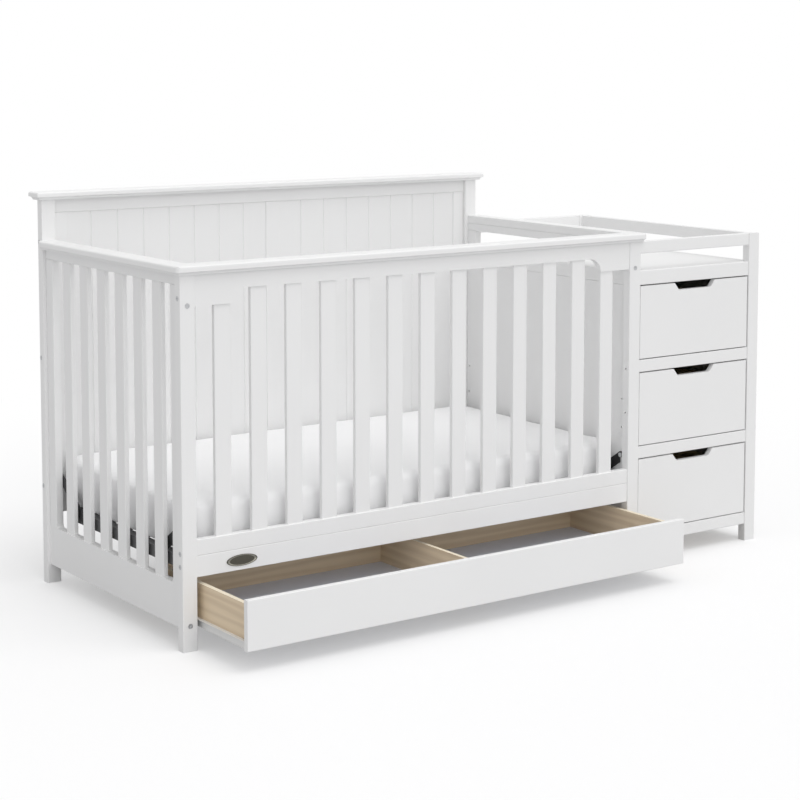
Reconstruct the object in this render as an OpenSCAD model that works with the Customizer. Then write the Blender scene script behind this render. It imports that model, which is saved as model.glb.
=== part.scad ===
// Convertible crib with an attached changer.
// X runs to the right along the front, Y to the back, Z up, in millimetres.
// The crib drawer is drawn part open, the changer drawers are drawn shut.

/* [Crib frame] */
// Clear width between the two front legs
crib_open_w = 1312; // [1280:1:1340]
// Clear run between a front leg and the back post behind it
side_run = 697; // [680:1:720]
// Width of a leg, seen from the front
leg_w = 38; // [36:0.5:44]
// Depth of a leg, seen from the side
leg_d = 25.5; // [24:0.5:30]
// Height of a front leg, up to the underside of the cap
leg_h = 869; // [850:1:890]
// Radius of the eased long edges on legs and rails
edge_r = 2; // [1:0.5:3]
// Thickness of the front rails, the apron and the corner blocks
rail_t = 19; // [17:0.5:21]
// Setback of the front rails and drawer fronts behind the leg faces
front_recess = 3; // [2:0.5:4]
// Height of the lower spare hole in the inner face of a front leg
spare_hole_z = 411; // [380:1:440]
// Distance between the two spare holes in a front leg
spare_hole_step = 118; // [90:1:140]

/* [Front panel] */
// Number of slats in the front
front_slat_count = 13; // [12:1:14]
// Width of a slat
slat_w = 43; // [38:1:46]
// Thickness of a slat
slat_t = 12; // [10:0.5:14]
// Height of the front top rail
top_rail_h = 38; // [32:1:44]
// Height of the corner blocks, measured down from the cap
block_h = 72.5; // [60:0.5:80]
// Reach of a corner block past its end slat
block_reach = 3; // [2:1:12]
// Radius of the arch between a corner block and the top rail
arch_r = 34; // [20:1:34]
// Height of the apron's lower edge above the floor
apron_z = 170.5; // [169.5:0.5:174]
// Height of the apron
apron_h = 50; // [44:1:56]
// Height of the front bottom rail
bottom_rail_h = 38; // [32:1:44]
// Length of the oval plate on the apron
plate_len = 82; // [60:1:90]
// Height of the oval plate on the apron
plate_h = 27; // [20:1:32]
// Thickness of the oval plate
plate_t = 1.6; // [1:0.1:2.5]
// Distance from the left leg to the middle of the oval plate
plate_in = 120; // [60:1:300]

/* [End panels] */
// Thickness of the end panels and the changer's side boards
end_t = 20; // [18:0.5:22]
// Number of slats in the left end
end_slat_count = 6; // [5:1:7]
// Width of an end panel's stile
stile_w = 38; // [34:1:42]
// Height of an end panel's top rail
end_rail_h = 25; // [20:1:30]
// Height of the end boards' lower edge above the floor
end_board_z = 50; // [44:1:50]
// Height of the left end's bottom board
end_board_h = 101; // [90:1:110]
// Radius where a stile meets the bottom board
horn_r = 9; // [5:1:14]

/* [Caps] */
// Thickness of the caps
cap_t = 22; // [20:1:26]
// Width of the crib's caps
cap_w = 55.5; // [52:0.5:60]
// Overhang of the crib's caps past the legs
cap_over = 13; // [10:1:16]
// Width of the cap between crib and changer
divide_cap_w = 42.5; // [40:0.5:46]
// Radius of the cove under a cap
cove_r = 8; // [5:0.5:9]
// Radius of a cap's top edges and outer corner
nose_r = 5; // [3:0.5:7]

/* [Headboard] */
// Height of the back posts, up to the underside of the headboard cap
post_h = 995; // [950:1:1040]
// Overhang of the headboard cap at the two ends
head_over = 17; // [14:1:20]
// Overhang of the headboard cap in front of and behind the posts
head_cap_lip = 15; // [12:1:18]
// Setback of the headboard frame behind the posts' front faces
head_recess = 11; // [9:0.5:12]
// Height of the headboard's top rail
head_rail_h = 35; // [28:1:42]
// Height of the headboard's bottom rail
head_foot_h = 98; // [90:1:110]
// Thickness of the headboard cap
head_cap_t = 20; // [18:1:26]
// Height of the headboard's lower edge above the floor
head_z = 180; // [172:1:190]
// Width of the headboard's outer stiles
head_stile_w = 36; // [30:1:42]
// Width of the headboard's middle stile
mid_stile_w = 43; // [36:1:50]
// Thickness of the beaded boards
bead_t = 6; // [5:0.5:7]
// Setback of the beaded boards behind the headboard frame
bead_recess = 3.5; // [2:0.5:4]
// Number of boards in each half of the headboard
bead_count = 8; // [6:1:9]
// Distance between the V grooves that part the boards
bead_pitch = 76.2; // [66:0.1:80]
// Depth of the V grooves between the boards
bead_groove = 2.5; // [1.5:0.5:3]

/* [Changer] */
// Clear width between the crib's leg and the changer's post
changer_open_w = 403.5; // [390:0.5:420]
// Height of the changer's lower edge above the floor
changer_z = 48; // [44:1:54]
// Height of the rail under the cap between crib and changer
divide_rail_h = 22; // [18:1:28]
// Height of the rails between the drawers
divider_h = 33; // [28:1:36]
// Gap round a drawer front
reveal = 3; // [2:0.5:4]
// Height of the apron round the changing tray
tray_apron_h = 38.5; // [32:0.5:44]
// Thickness of the changing board
top_t = 15; // [12:1:18]
// Height of the guard rails, measured down from the posts' tops
guard_h = 33; // [26:1:40]
// Height of the gap between a guard rail and the changing board
tray_gap = 46; // [42:0.5:52]
// Thickness of the changer's back panel
back_t = 4; // [3:0.5:6]

/* [Drawers] */
// Thickness of a drawer front
front_t = 15; // [13:0.5:18]
// Thickness of the drawers' sides and backs
side_t = 12; // [10:0.5:14]
// Thickness of a drawer bottom
bottom_t = 3.5; // [3:0.5:5]
// Depth of the groove that holds a drawer bottom
groove_d = 4; // [3:0.5:6]
// Height of the groove above the lower edge of a drawer side
groove_z = 9; // [6:1:14]
// Depth of a drawer box behind its front
box_depth = 422; // [410:1:440]
// Height of the crib drawer's front
crib_front_h = 117; // [110:1:118]
// Height of the crib drawer's front above the floor
crib_front_z = 51; // [48:0.5:52]
// Height of the crib drawer's sides
crib_side_h = 101; // [85:1:105]
// Gap between the crib drawer's front and the legs beside it
crib_reveal = 2; // [1.5:0.5:4]
// Height of the crib drawer's divider
crib_divider_h = 98; // [80:1:101]
// Thickness of the crib drawer's divider
crib_divider_t = 10; // [9.5:0.5:12]
// Height of a changer drawer's sides
changer_side_h = 140; // [100:1:150]
// How far the crib drawer is drawn out in the modelled pose
crib_drawer_open = 223; // [0:1:290]
// Width of a finger cut-out at the top edge
grip_w = 149; // [120:1:180]
// Width of a finger cut-out at its floor
grip_floor_w = 119; // [90:1:150]
// Depth of a finger cut-out
grip_d = 19; // [14:1:26]
// Radius at the lower corners of a finger cut-out
grip_r = 9; // [5:0.5:12]

/* [Drawer slides] */
// Length of a slide rail
slide_len = 400; // [380:1:410]
// Side clearance that a pair of rails takes up
slide_gap = 12.5; // [12.5:0.1:13.5]
// Sheet thickness of the rails
sheet_t = 1.2; // [1:0.1:1.4]
// Height of a cabinet rail
cabinet_rail_h = 18; // [17.5:0.5:19]
// Setback of the rails behind a drawer front
slide_setback = 3; // [2:0.5:5]
// Radius of the fixed front rollers
front_roller_r = 9; // [8.5:0.5:9]
// Width of a roller
roller_w = 6; // [5:0.5:6]
// Radius of the roller pins
pin_r = 2.5; // [2:0.1:3]
// Running clearance between a roller and its pin
pin_gap = 0.06; // [0.03:0.01:0.1]

/* [Mattress and support] */
// Gap between the mattress and the caps and headboard that it is lifted past
mattress_gap = 1.2; // [1:0.1:6]
// Thickness of the mattress at its edge
mattress_h = 124; // [100:1:150]
// Rise of the mattress top towards its middle
mattress_crown = 4; // [0:0.5:10]
// Corner radius of the mattress
mattress_corner_r = 45; // [30:1:80]
// Height of the support frame's top above the floor
support_z = 207; // [205:1:215]
// Height of the support frame's angle iron
angle_h = 29; // [24:1:34]
// Width of the angle iron's top flange
angle_w = 25; // [20:1:30]
// Thickness of the support's steel
steel_t = 3; // [2:0.1:3]
// Thickness of the support's steel bands
band_t = 1.5; // [1:0.1:2]
// Width of the support's steel bands
band_w = 20; // [14:1:28]
// Height of the lowest row of hanger holes above the floor
hanger_z = 292; // [286:1:300]
// Spacing of the hanger holes
hanger_step = 76; // [70:1:80]
// Distance of the hanger holes from the leg or post
hanger_in = 10.5; // [10.5:0.5:13]
// Width of the straps that hang the support from its bolts
strap_w = 25; // [20:0.5:29]
// Reach of a strap along the end, from the leg or post
strap_reach = 155; // [140:5:175]
// Gap between the support frame and the legs and posts
support_in = 57.5; // [45:0.5:70]

/* [Bolts] */
// Radius of a bolt's shank
bolt_r = 3; // [2.5:0.5:3.5]
// Radius of a bolt's head
bolt_head_r = 6; // [5.5:0.5:7]
// Thickness of a bolt's head
bolt_head_t = 2.4; // [2:0.1:3]
// Reach of a frame bolt past the leg or post
bolt_reach = 34; // [30:1:40]
// Radius of a barrel nut
nut_r = 5; // [4.5:0.5:6]
// Length of a barrel nut
nut_len = 11; // [10:0.5:13]
// Clearance round a bolt's shank and head
bolt_gap = 0.3; // [0.2:0.05:0.5]

/* [Hidden] */
$fn = 48;

// Colours.
white_paint = [0.93, 0.93, 0.93];
birch = [0.76, 0.66, 0.52];
board_grey = [0.60, 0.60, 0.64];
slide_white = [0.88, 0.88, 0.88];
roller_grey = [0.80, 0.80, 0.78];
black_steel = [0.08, 0.08, 0.08];
bolt_steel = [0.62, 0.62, 0.62];
plate_bronze = [0.30, 0.29, 0.26];
sheet_white = [0.95, 0.95, 0.95];

// Small clearances and reaches that no driving dimension changes.
slip = 0.3; // between a moving steel piece and what it passes
panel_play = 0.5; // between a panel's edge and the floor of its groove
groove_play = 0.1; // above and below a panel in its groove
lip_gap = 0.3; // between a fixed roller and the drawer rail's lip
flange_gap = 0.8; // between the two rails of a slide
roller_play = 0.2; // beside a roller, on its pin
cut = 1; // how far a cutting shape stands past the face that it cuts

// Places along X: left leg, right leg and changer post.
right_leg_x = leg_w + crib_open_w;
right_leg_x1 = right_leg_x + leg_w;
post_x = right_leg_x1 + changer_open_w;
post_x1 = post_x + leg_w;
// Places along Y: back posts and the back faces of the front rails and fronts.
post_y = leg_d + side_run;
post_y1 = post_y + leg_d;
rail_y1 = front_recess + rail_t;
front_y1 = front_recess + front_t;
back_rail_y = post_y1 - front_recess - rail_t;
// The end panels stand in the middle of the legs.
end_in = (leg_w - end_t) / 2;
well_x = end_in + end_t;
well_x1 = right_leg_x + end_in;
divide_x1 = well_x1 + end_t;
side_x = post_x + end_in;

// The origin is the middle of the whole outline, at the floor.
low_x = -head_over;
high_x = post_x1;
low_y = min(front_recess - crib_drawer_open, -cap_over);
high_y = post_y1 + head_cap_lip;
origin = [(low_x + high_x) / 2, (low_y + high_y) / 2, 0];

// Heights of the front panel.
top_rail_z = leg_h - top_rail_h;
block_z = leg_h - block_h;
bottom_rail_z = apron_z + apron_h;
slat_z = bottom_rail_z + bottom_rail_h;
slat_gap = (crib_open_w - front_slat_count * slat_w) / (front_slat_count + 1);

// Heights of the changer, worked down from the posts' tops. The drawers share
// what is left between the tray's apron and the changer's lower edge.
drawer_count = 3;
guard_z = leg_h - guard_h;
tray_z = guard_z - tray_gap;
tray_apron_z = tray_z - tray_apron_h;
drawer_pitch = (tray_apron_z - changer_z) / drawer_count;
drawer_front_h = drawer_pitch - 2 * reveal - divider_h;

// Heights and places of the headboard.
head_t = leg_d - head_recess;
head_y = post_y + head_recess;
head_rail_z = post_h - head_rail_h;
head_foot_z1 = head_z + head_foot_h;
field_w = (crib_open_w - 2 * head_stile_w - mid_stile_w) / 2;

// Slides, in millimetres from the cabinet's face, the rails' front ends
// and the cabinet rail's underside.
slide_y = front_y1 + slide_setback;
flange_w = slide_gap - sheet_t - flange_gap;
drawer_web_x = slide_gap - sheet_t;
side_rise = sheet_t;
fixed_roller_z = sheet_t + slip + front_roller_r;
lip_z = fixed_roller_z + front_roller_r + lip_gap;
lip_x = 2.5;
moving_roller_r = cabinet_rail_h / 2 - sheet_t - slip;
moving_roller_z = cabinet_rail_h / 2;
fixed_roller_x = sheet_t + 1.6;
moving_roller_x = drawer_web_x - 1.6 - roller_w;
fixed_roller_y = front_roller_r + 2;
moving_roller_y = slide_len - moving_roller_r - 3;
pin_head_t = 1.2;
pin_head_r = pin_r + 1.5;
batten_h = lip_z;

// Bolts of the frame.
nut_in = bolt_reach - nut_r - 1;
low_bolt_z = end_board_z + 10;
high_bolt_z = tray_z + nut_r + 4;
front_bolt_z = [apron_z + 27.5, bottom_rail_z + 8, leg_h - 53];
head_bolt_z = [head_z + 74, (head_z + post_h) / 2, post_h - 109];

// Mattress support and mattress.
hanger_x = well_x + slip;
frame_x = hanger_x + steel_t;
frame_y = leg_d + support_in;
frame_w = side_run - 2 * support_in;
frame_z = support_z - angle_h;
hook_r = 9.5;
hanger_y = leg_d + hanger_in;
hanger_rows = 3;
insert_depth = 12;
long_bands = 5;
cross_bands = 9;
crib_mid_x = (well_x + well_x1) / 2;
side_mid_y = (leg_d + post_y) / 2;
frame_len = 2 * (crib_mid_x - frame_x);
strap_run = strap_reach - hanger_in;
strap_drop = hanger_z - support_z;
strap_tilt = atan2(strap_drop, strap_run) + asin(hook_r / norm([strap_run, strap_drop]));
cap_in = cap_w - cap_over;
mattress_x = cap_in + mattress_gap;
mattress_y = cap_in + mattress_gap;
mattress_len = well_x1 - slip - steel_t - mattress_gap - mattress_x;
mattress_w = head_y - mattress_gap - mattress_y;

// Points along an arc, from angle a0 to angle a1.
function arc(x, y, r, a0, a1, n = 4) =
    [for (i = [0:n]) let (a = a0 + (a1 - a0) * i / n) [x + r * cos(a), y + r * sin(a)]];

// A rectangle with rounded corners, from the origin.
function eased(w, h, r) = concat(
    arc(w - r, h - r, r, 0, 90),
    arc(r, h - r, r, 90, 180),
    arc(r, r, r, 180, 270),
    arc(w - r, r, r, 270, 360));

module place() {
    translate(-origin) children();
}

// Bars along each axis with eased long edges, by lowest corner and size.
module bar_x(at, size, r = edge_r) {
    translate(at) rotate([90, 0, 90]) linear_extrude(size[0]) polygon(eased(size[1], size[2], r));
}

module bar_y(at, size, r = edge_r) {
    translate(at + [0, size[1], 0])
        rotate([90, 0, 0])
        linear_extrude(size[1]) polygon(eased(size[0], size[2], r));
}

module bar_z(at, size, r = edge_r) {
    translate(at) linear_extrude(size[2]) polygon(eased(size[0], size[1], r));
}

module box(at, size) {
    translate(at) cube(size);
}

// A flat board whose outline is drawn in X and Z, from face y to y + t.
module board_xz(y, t, outline) {
    translate([0, y + t, 0]) rotate([90, 0, 0]) linear_extrude(t) polygon(outline);
}

// The same in Y and Z, from face x to x + t.
module board_yz(x, t, outline) {
    translate([x, 0, 0]) rotate([90, 0, 90]) linear_extrude(t) polygon(outline);
}

// The children twice: as they are, and mirrored about the plane X = mid.
module both_x(mid) {
    children();
    translate([2 * mid, 0, 0]) mirror([1, 0, 0]) children();
}

module both_y(mid) {
    children();
    translate([0, 2 * mid, 0]) mirror([0, 1, 0]) children();
}

// ---- Fixings ----

// A bolt along +Z with its head below the plane Z = 0.
module bolt(shank) {
    cylinder(r = bolt_r, h = shank);
    translate([0, 0, -bolt_head_t]) difference() {
        cylinder(r = bolt_head_r, h = bolt_head_t);
        translate([0, 0, -cut]) cylinder(r = bolt_head_r * 0.42, h = bolt_head_t, $fn = 6);
    }
}

// One fixing: a bolt whose head is let in at Z = 0 runs through a leg and into
// a panel, where a barrel nut lies across it. turn points the nut's open end.
module fixing(kind, leg, panel_t, turn) {
    if (kind == "bolt")
        translate([0, 0, bolt_head_t]) bolt(leg + bolt_reach - bolt_head_t);
    if (kind == "nut")
        translate([0, 0, leg + nut_in]) rotate([0, 0, turn]) rotate([0, 90, 0]) difference() {
            cylinder(r = nut_r, h = nut_len, center = true);
            rotate([0, 90, 0]) cylinder(r = bolt_r, h = 3 * nut_r, center = true);
        }
    if (kind == "hole") {
        cylinder(r = bolt_r + bolt_gap, h = leg + bolt_reach + cut);
        translate([0, 0, -cut]) cylinder(r = bolt_head_r + bolt_gap, h = bolt_head_t + cut);
        translate([0, 0, leg + nut_in]) rotate([0, 0, turn]) translate([-nut_len / 2, 0, 0])
            rotate([0, 90, 0]) cylinder(r = nut_r, h = nut_len / 2 + panel_t / 2 + cut);
    }
}

// Legs and posts to the end panels.
module end_fixings(kind) {
    for (z = [low_bolt_z, high_bolt_z]) both_x(crib_mid_x) {
        translate([leg_w / 2, 0, z]) rotate([-90, 0, 0]) fixing(kind, leg_d, end_t, 0);
        translate([leg_w / 2, post_y1, z]) rotate([90, 0, 0]) fixing(kind, leg_d, end_t, 0);
    }
}

// Front legs to the front panel.
module front_fixings(kind) {
    for (z = front_bolt_z) both_x(crib_mid_x)
        translate([0, front_recess + rail_t / 2, z])
            rotate([0, 90, 0]) fixing(kind, leg_w, rail_t, 90);
}

// Back posts to the headboard.
module head_fixings(kind) {
    for (z = head_bolt_z) both_x(crib_mid_x)
        translate([0, head_y + head_t / 2, z])
            rotate([0, 90, 0]) fixing(kind, leg_w, head_t, 90);
}

module frame_bolts() {
    color(bolt_steel) place() {
        end_fixings("bolt");
        front_fixings("bolt");
        head_fixings("bolt");
    }
}

module barrel_nuts() {
    color(bolt_steel) place() {
        end_fixings("nut");
        front_fixings("nut");
        head_fixings("nut");
    }
}

// ---- Crib frame ----

module leg(x, y, h) {
    color(white_paint) place() difference() {
        bar_z([x, y, 0], [leg_w, leg_d, h]);
        end_fixings("hole");
        children();
    }
}

// Blind holes in the front legs' inner faces, spare until the crib is converted.
module spare_holes() {
    for (z = [spare_hole_z, spare_hole_z + spare_hole_step]) both_x(crib_mid_x)
        translate([leg_w - insert_depth, leg_d / 2, z])
            rotate([0, 90, 0]) cylinder(r = bolt_r, h = insert_depth + cut);
}

module front_leg(x) {
    leg(x, 0, leg_h) {
        front_fixings("hole");
        spare_holes();
    }
}

module front_left_leg() {
    front_leg(0);
}

module front_right_leg() {
    front_leg(right_leg_x);
}

module back_left_post() {
    leg(0, post_y, post_h) head_fixings("hole");
}

module back_right_post() {
    leg(right_leg_x, post_y, post_h) head_fixings("hole");
}

// Half of the top rail's outline, from the middle of the crib to the left leg.
function top_rail_half(w) = let (
        x = slat_gap + slat_w + block_reach)
    concat([[w, top_rail_h], [0, top_rail_h], [0, top_rail_h - block_h],
        [x, top_rail_h - block_h]],
        arc(x + arch_r, -arch_r, arch_r, 180, 90, 12),
        [[w, 0]]);

module front_top_rail() {
    color(white_paint) place() difference() {
        both_x(crib_mid_x) translate([leg_w, 0, top_rail_z])
            board_xz(front_recess, rail_t, top_rail_half(crib_open_w / 2));
        front_fixings("hole");
    }
}

module front_slats() {
    ends = front_slat_count - 1;
    color(white_paint) place() for (i = [0:ends]) {
        top = i == 0 || i == ends ? block_z : top_rail_z;
        bar_z([leg_w + slat_gap + i * (slat_w + slat_gap),
                front_recess + (rail_t - slat_t) / 2, slat_z],
            [slat_w, slat_t, top - slat_z]);
    }
}

module front_bottom_rail() {
    color(white_paint) place() difference() {
        bar_x([leg_w, front_recess, bottom_rail_z], [crib_open_w, rail_t, bottom_rail_h]);
        front_fixings("hole");
    }
}

module front_apron() {
    color(white_paint) place() difference() {
        bar_x([leg_w, front_recess, apron_z], [crib_open_w, rail_t, apron_h]);
        front_fixings("hole");
    }
}

module oval_plate() {
    rim = [for (a = [0:6:354]) [plate_len / 2 * cos(a), plate_h / 2 * sin(a)]];
    color(plate_bronze) place()
        translate([leg_w + plate_in, 0, apron_z + apron_h / 2 - 1.5])
        board_xz(front_recess - plate_t, plate_t, rim);
}

// ---- Left end ----

module end_top_rail() {
    color(white_paint) place()
        bar_y([end_in, leg_d, leg_h - end_rail_h], [end_t, side_run, end_rail_h]);
}

module end_stiles() {
    z0 = end_board_z + end_board_h;
    color(white_paint) place() difference() {
        both_y(side_mid_y)
            bar_z([end_in, leg_d, z0], [end_t, stile_w, leg_h - end_rail_h - z0]);
        end_fixings("hole");
        hanger_holes();
    }
}

module end_slats() {
    run = side_run - 2 * stile_w;
    gap = (run - end_slat_count * slat_w) / (end_slat_count + 1);
    z0 = end_board_z + end_board_h;
    color(white_paint) place() for (i = [0:end_slat_count - 1])
        bar_z([end_in + (end_t - slat_t) / 2,
                leg_d + stile_w + gap + i * (slat_w + gap), z0],
            [slat_t, slat_w, leg_h - end_rail_h - z0]);
}

// The bottom board, with a small rounded horn up each stile.
module end_bottom_board() {
    h = end_board_h;
    outline = concat([[0, 0], [side_run, 0], [side_run, h], [side_run - stile_w, h]],
        arc(side_run - stile_w - horn_r, h + horn_r, horn_r, 0, -90, 6),
        arc(stile_w + horn_r, h + horn_r, horn_r, 270, 180, 6),
        [[stile_w, h], [0, h]]);
    color(white_paint) place() difference() {
        translate([0, leg_d, end_board_z]) board_yz(end_in, end_t, outline);
        end_fixings("hole");
    }
}

// ---- Caps ----

// A cap's section: a cove below and a rounded nose above at each moulded edge.
function cap_outline(w, t, plain = false) = concat(
    arc(w, 0, cove_r, 180, 90, 6),
    arc(w - nose_r, t - nose_r, nose_r, 0, 90, 6),
    plain
        ? concat(arc(edge_r, t - edge_r, edge_r, 90, 180), [[0, 0]])
        : concat(arc(nose_r, t - nose_r, nose_r, 90, 180, 6), arc(0, 0, cove_r, 90, 0, 6)));

corner_r = cap_over - 1;

// The front cap is mitred to the side caps.
module front_cap() {
    x0 = -cap_over;
    x1 = right_leg_x1 + cap_over;
    plan = concat(
        arc(x0 + corner_r, x0 + corner_r, corner_r, 225, 270),
        arc(x1 - corner_r, x0 + corner_r, corner_r, 270, 315),
        [[x1 - divide_cap_w, x0 + divide_cap_w], [x1 - divide_cap_w, x0 + cap_w],
            [x0 + cap_w, x0 + cap_w]]);
    color(white_paint) place() intersection() {
        translate([x0, x0, leg_h]) rotate([90, 0, 90])
            linear_extrude(x1 - x0) polygon(cap_outline(cap_w, cap_t));
        translate([0, 0, leg_h - cut]) linear_extrude(cap_t + 2 * cut) polygon(plan);
    }
}

// A cap along Y from the front corner to the back post, nosed on its left.
module side_cap(w, plain) {
    run = post_y + cap_over;
    plan = concat(
        arc(corner_r, run - corner_r, corner_r, 180, 90),
        [[w, run], [w, w]],
        arc(corner_r, corner_r, corner_r, 225, 180));
    intersection() {
        translate([w, 0, 0]) rotate([90, 0, 180])
            linear_extrude(run) polygon(cap_outline(w, cap_t, plain));
        translate([0, 0, -cut]) linear_extrude(cap_t + 2 * cut) polygon(plan);
    }
}

module side_caps() {
    color(white_paint) place() {
        translate([-cap_over, -cap_over, leg_h]) side_cap(cap_w, false);
        translate([right_leg_x1 + cap_over, -cap_over, leg_h])
            mirror([1, 0, 0]) side_cap(divide_cap_w, true);
    }
}

// ---- Headboard ----

module headboard_cap() {
    w = leg_d + 2 * head_cap_lip;
    len = right_leg_x1 + 2 * head_over;
    color(white_paint) place() translate([-head_over, post_y - head_cap_lip, post_h])
        intersection() {
            rotate([90, 0, 90]) linear_extrude(len) polygon(cap_outline(w, head_cap_t));
            translate([0, w, 0]) rotate([90, 0, 0])
                linear_extrude(w) polygon(cap_outline(len, head_cap_t));
        }
}

module headboard_rails() {
    color(white_paint) place() difference() {
        for (rail = [[head_z, head_foot_h], [head_rail_z, head_rail_h]])
            bar_x([leg_w, head_y, rail[0]], [crib_open_w, head_t, rail[1]]);
        head_fixings("hole");
    }
}

module headboard_stiles() {
    h = head_rail_z - head_foot_z1;
    color(white_paint) place() difference() {
        for (s = [[leg_w, head_stile_w], [leg_w + head_stile_w + field_w, mid_stile_w],
                [right_leg_x - head_stile_w, head_stile_w]])
            bar_z([s[0], head_y, head_foot_z1], [s[1], head_t, h]);
        head_fixings("hole");
    }
}

// Two panels, each with V grooves that part it into boards.
module headboard_panels() {
    edge = (field_w - (bead_count - 2) * bead_pitch) / 2;
    grooves = [for (i = [0:bead_count - 2], p = [-1, 0, 1])
        [edge + i * bead_pitch + p * bead_groove, p == 0 ? bead_groove : 0]];
    section = concat([[0, bead_t], [0, 0]], grooves, [[field_w, 0], [field_w, bead_t]]);
    color(white_paint) place() both_x(crib_mid_x)
        translate([leg_w + head_stile_w, head_y + bead_recess, head_foot_z1])
        linear_extrude(head_rail_z - head_foot_z1) polygon(section);
}

// ---- Changer ----

// The frame between crib and tray: a rail on two short stiles.
module divide_frame() {
    rail_z = leg_h - divide_rail_h;
    color(white_paint) place() difference() {
        union() {
            bar_y([well_x1, leg_d, rail_z], [end_t, side_run, divide_rail_h]);
            both_y(side_mid_y) bar_z([well_x1, leg_d, tray_z], [end_t, stile_w, rail_z - tray_z]);
        }
        end_fixings("hole");
    }
}

module divide_board() {
    color(white_paint) place() difference() {
        bar_z([well_x1, leg_d, changer_z], [end_t, side_run, tray_apron_z - changer_z]);
        end_fixings("hole");
        hanger_holes();
    }
}

module changer_right_side() {
    color(white_paint) place()
        bar_z([side_x, leg_d, changer_z], [end_t, side_run, tray_apron_z - changer_z]);
}

module changer_posts() {
    color(white_paint) place() for (y = [0, post_y])
        bar_z([post_x, y, 0], [leg_w, leg_d, leg_h]);
}

module changer_front_rails() {
    color(white_paint) place() for (i = [0:drawer_count - 1])
        bar_x([right_leg_x1, front_recess, changer_z + i * drawer_pitch],
            [changer_open_w, rail_t, divider_h]);
}

module changer_back_panel() {
    color(sheet_white) place()
        box([right_leg_x1, back_rail_y, changer_z],
            [changer_open_w, back_t, tray_apron_z - changer_z]);
}

module tray_aprons() {
    color(white_paint) place() {
        for (y = [front_recess, back_rail_y])
            bar_x([right_leg_x1, y, tray_apron_z], [changer_open_w, rail_t, tray_apron_h]);
        for (x = [well_x1, side_x])
            bar_y([x, leg_d, tray_apron_z], [end_t, side_run, tray_z - tray_apron_z]);
    }
}

// The board of the tray, notched round the four posts.
module changing_top() {
    plan = [[right_leg_x1, rail_y1], [post_x, rail_y1], [post_x, leg_d], [side_x, leg_d],
        [side_x, post_y], [post_x, post_y], [post_x, back_rail_y],
        [right_leg_x1, back_rail_y], [right_leg_x1, post_y], [divide_x1, post_y],
        [divide_x1, leg_d], [right_leg_x1, leg_d]];
    color(white_paint) place()
        translate([0, 0, tray_z - top_t]) linear_extrude(top_t) polygon(plan);
}

module guard_rails() {
    color(white_paint) place() {
        for (y = [front_recess, back_rail_y])
            bar_x([right_leg_x1, y, guard_z], [changer_open_w, rail_t, guard_h]);
        bar_y([side_x, leg_d, guard_z], [end_t, side_run, guard_h]);
    }
}

// ---- Slides ----

// Height of a changer drawer's front, counted from the bottom drawer.
function front_z(i) = changer_z + divider_h + reveal + i * drawer_pitch;

// The children at the left and, mirrored, at the right of an opening.
module slide_pair(x0, x1, z, drawn = 0) {
    translate([x0, slide_y - drawn, z]) children();
    translate([x1, slide_y - drawn, z]) mirror([1, 0, 0]) children();
}

module crib_slides(drawn = 0) {
    slide_pair(leg_w, right_leg_x, crib_front_z, drawn) children();
}

module changer_slides(i) {
    slide_pair(right_leg_x1, post_x, front_z(i)) children();
}

module all_slides() {
    crib_slides() children();
    for (i = [0:drawer_count - 1]) changer_slides(i) children();
}

module roller_pin(x, y, z, len) {
    translate([x, y, z]) rotate([0, 90, 0]) {
        cylinder(r = pin_r, h = len);
        cylinder(r = pin_head_r, h = pin_head_t);
        translate([0, 0, len - pin_head_t]) cylinder(r = pin_head_r, h = pin_head_t);
    }
}

// The rail on the cabinet: a channel that opens towards the drawer, with a pin
// for its roller. The top flange starts behind the roller.
module cabinet_rail() {
    flange_y = fixed_roller_y + front_roller_r + 3;
    cube([sheet_t, slide_len, cabinet_rail_h]);
    cube([flange_w, slide_len, sheet_t]);
    box([0, flange_y, cabinet_rail_h - sheet_t], [flange_w, slide_len - flange_y, sheet_t]);
    foot = sheet_t / 2;
    roller_pin(foot, fixed_roller_y, fixed_roller_z,
        fixed_roller_x + roller_w + roller_play + pin_head_t - foot);
    boss = fixed_roller_x - roller_play - foot;
    translate([foot, fixed_roller_y, fixed_roller_z])
        rotate([0, 90, 0]) cylinder(r = pin_head_r, h = boss);
}

// The rail on the drawer: a flange under its side, a web and a lip that rides
// on the fixed roller, with a pin for the moving roller at the back.
module drawer_rail() {
    box([drawer_web_x, 0, 0], [sheet_t, slide_len, lip_z + sheet_t]);
    box([drawer_web_x, 0, 0], [sheet_t + side_t * 0.7, slide_len, sheet_t]);
    box([lip_x, 0, lip_z], [slide_gap - lip_x, slide_len, sheet_t]);
    tip = moving_roller_x - roller_play - pin_head_t;
    root = drawer_web_x + sheet_t / 2;
    roller_pin(tip, moving_roller_y, moving_roller_z, root - tip);
    boss_x = moving_roller_x + roller_w + roller_play;
    translate([boss_x, moving_roller_y, moving_roller_z])
        rotate([0, 90, 0]) cylinder(r = pin_head_r, h = root - boss_x);
}

module roller(x, y, z, r) {
    translate([x, y, z]) rotate([0, 90, 0]) difference() {
        cylinder(r = r, h = roller_w);
        translate([0, 0, -cut]) cylinder(r = pin_r + pin_gap, h = roller_w + 2 * cut);
    }
}

module fixed_roller() {
    roller(fixed_roller_x, fixed_roller_y, fixed_roller_z, front_roller_r);
}

module moving_roller() {
    roller(moving_roller_x, moving_roller_y, moving_roller_z, moving_roller_r);
}

module slide_battens() {
    depth = slide_y + slide_len - leg_d;
    color(birch) place() all_slides()
        box([-end_in, leg_d - slide_y, 0], [end_in, depth, batten_h]);
}

module cabinet_slide_rails() {
    color(slide_white) place() all_slides() cabinet_rail();
}

// ---- Drawers ----

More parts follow.
